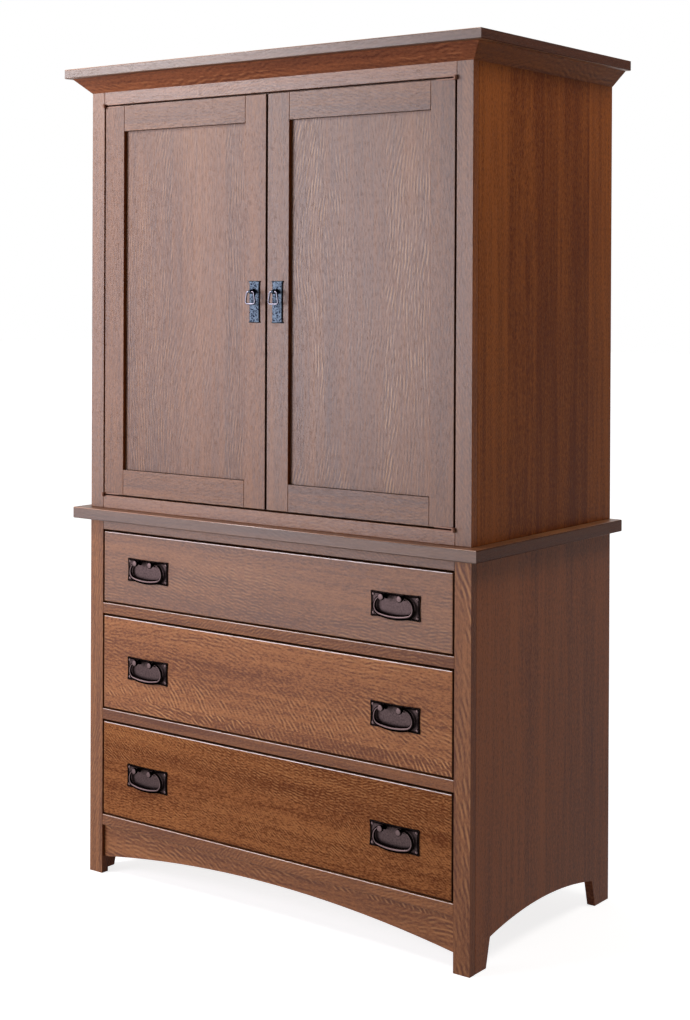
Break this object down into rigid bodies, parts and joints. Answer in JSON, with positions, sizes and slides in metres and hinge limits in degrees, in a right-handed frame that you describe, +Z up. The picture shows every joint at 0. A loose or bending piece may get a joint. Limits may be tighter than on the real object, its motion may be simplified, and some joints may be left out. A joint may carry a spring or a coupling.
{
  "type": "computer armoire",
  "caption": "Two-part oak armoire: two panelled inset doors over shelves and a pull-out tray, three dovetailed drawers below, arched feet and a bevelled crown.",
  "frame": {"origin": "on the floor under the middle of the bounding box", "axes": "+Z up, doors and drawers face -Y, +X to the right of someone facing the front"},
  "size_m": [1.104, 0.592, 1.799],
  "materials": {
    "oak": "quarter-sawn, red-brown stain, satin lacquer",
    "maple": "clear lacquer",
    "plywood": "stained, satin",
    "bronze": "dark oil-rubbed bronze",
    "hammered_iron": "hammered, blue-grey",
    "zinc_steel": "zinc plated",
    "brown_plastic": "matt"
  },
  "bodies": {
    "case": {"top_board": "oak", "crown_front": "oak", "crown_returns": "oak", "upper_side_left": "oak", "upper_side_right": "oak", "upper_stiles": "oak", "upper_rails": "oak", "upper_floor": "oak", "upper_back": "plywood", "fixed_shelf": "oak", "adjustable_shelf": "oak", "shelf_pins": "zinc_steel", "writing_tray": "oak", "tray_slides": "zinc_steel", "cable_grommet": "brown_plastic", "door_catches": "brown_plastic", "hinge_frame_leaves": "bronze", "waist_board": "oak", "base_side_left": "oak", "base_side_right": "oak", "base_stiles": "oak", "base_rails": "oak", "apron": "oak", "base_floor": "plywood", "base_back": "plywood", "slide_blocking": "maple", "slide_case_members": "zinc_steel"},
    "door_left": {"door_left_stiles": "oak", "door_left_rails": "oak", "door_left_panel": "oak", "door_left_hardware": "bronze", "door_left_pull_plate": "hammered_iron"},
    "door_left_ring": {"door_left_ring": "hammered_iron"},
    "door_right": {"door_right_stiles": "oak", "door_right_rails": "oak", "door_right_panel": "oak", "door_right_hardware": "bronze", "door_right_pull_plate": "hammered_iron"},
    "door_right_ring": {"door_right_ring": "hammered_iron"},
    "drawer_1": {"drawer_1_front": "oak", "drawer_1_box": "maple", "drawer_1_slide_members": "zinc_steel", "drawer_1_pull_plates": "bronze"},
    "drawer_1_middle": {"drawer_1_middle_slides": "zinc_steel"},
    "drawer_1_bail_left": {"drawer_1_bail_left": "bronze"},
    "drawer_1_bail_right": {"drawer_1_bail_right": "bronze"},
    "drawer_2": {"drawer_2_front": "oak", "drawer_2_box": "maple", "drawer_2_slide_members": "zinc_steel", "drawer_2_pull_plates": "bronze"},
    "drawer_2_middle": {"drawer_2_middle_slides": "zinc_steel"},
    "drawer_2_bail_left": {"drawer_2_bail_left": "bronze"},
    "drawer_2_bail_right": {"drawer_2_bail_right": "bronze"},
    "drawer_3": {"drawer_3_front": "oak", "drawer_3_box": "maple", "drawer_3_slide_members": "zinc_steel", "drawer_3_pull_plates": "bronze"},
    "drawer_3_middle": {"drawer_3_middle_slides": "zinc_steel"},
    "drawer_3_bail_left": {"drawer_3_bail_left": "bronze"},
    "drawer_3_bail_right": {"drawer_3_bail_right": "bronze"}
  },
  "joints": [
    {"name": "door_left_hinge", "type": "hinge", "parent": "case", "child": "door_left", "pos_m": [-0.46825, -0.2555, 1.2825], "axis": [0, 0, -1], "range_deg": [0, 170]},
    {"name": "door_left_ring_swing", "type": "hinge", "parent": "door_left", "child": "door_left_ring", "pos_m": [-0.03075, -0.267, 1.3035], "axis": [-1, 0, 0], "range_deg": [0, 100]},
    {"name": "door_right_hinge", "type": "hinge", "parent": "case", "child": "door_right", "pos_m": [0.46825, -0.2555, 1.2825], "axis": [0, 0, 1], "range_deg": [0, 170]},
    {"name": "door_right_ring_swing", "type": "hinge", "parent": "door_right", "child": "door_right_ring", "pos_m": [0.03075, -0.267, 1.3035], "axis": [-1, 0, 0], "range_deg": [0, 100]},
    {"name": "drawer_1_slide", "type": "slide", "parent": "case", "child": "drawer_1", "axis": [0, -1, 0], "range_m": [0, 0.45]},
    {"name": "drawer_1_middle_travel", "type": "slide", "parent": "case", "child": "drawer_1_middle", "axis": [0, -1, 0], "range_m": [0, 0.225]},
    {"name": "drawer_1_bail_left_swing", "type": "hinge", "parent": "drawer_1", "child": "drawer_1_bail_left", "pos_m": [-0.332, -0.2595, 0.707], "axis": [-1, 0, 0], "range_deg": [0, 95]},
    {"name": "drawer_1_bail_right_swing", "type": "hinge", "parent": "drawer_1", "child": "drawer_1_bail_right", "pos_m": [0.332, -0.2595, 0.707], "axis": [-1, 0, 0], "range_deg": [0, 95]},
    {"name": "drawer_2_slide", "type": "slide", "parent": "case", "child": "drawer_2", "axis": [0, -1, 0], "range_m": [0, 0.45]},
    {"name": "drawer_2_middle_travel", "type": "slide", "parent": "case", "child": "drawer_2_middle", "axis": [0, -1, 0], "range_m": [0, 0.225]},
    {"name": "drawer_2_bail_left_swing", "type": "hinge", "parent": "drawer_2", "child": "drawer_2_bail_left", "pos_m": [-0.332, -0.2595, 0.489], "axis": [-1, 0, 0], "range_deg": [0, 95]},
    {"name": "drawer_2_bail_right_swing", "type": "hinge", "parent": "drawer_2", "child": "drawer_2_bail_right", "pos_m": [0.332, -0.2595, 0.489], "axis": [-1, 0, 0], "range_deg": [0, 95]},
    {"name": "drawer_3_slide", "type": "slide", "parent": "case", "child": "drawer_3", "axis": [0, -1, 0], "range_m": [0, 0.45]},
    {"name": "drawer_3_middle_travel", "type": "slide", "parent": "case", "child": "drawer_3_middle", "axis": [0, -1, 0], "range_m": [0, 0.225]},
    {"name": "drawer_3_bail_left_swing", "type": "hinge", "parent": "drawer_3", "child": "drawer_3_bail_left", "pos_m": [-0.332, -0.2595, 0.252], "axis": [-1, 0, 0], "range_deg": [0, 95]},
    {"name": "drawer_3_bail_right_swing", "type": "hinge", "parent": "drawer_3", "child": "drawer_3_bail_right", "pos_m": [0.332, -0.2595, 0.252], "axis": [-1, 0, 0], "range_deg": [0, 95]}
  ],
  "couplings": [
    {"joint": "drawer_1_middle_travel", "follows": "drawer_1_slide", "ratio": 0.5},
    {"joint": "drawer_2_middle_travel", "follows": "drawer_2_slide", "ratio": 0.5},
    {"joint": "drawer_3_middle_travel", "follows": "drawer_3_slide", "ratio": 0.5}
  ]
}
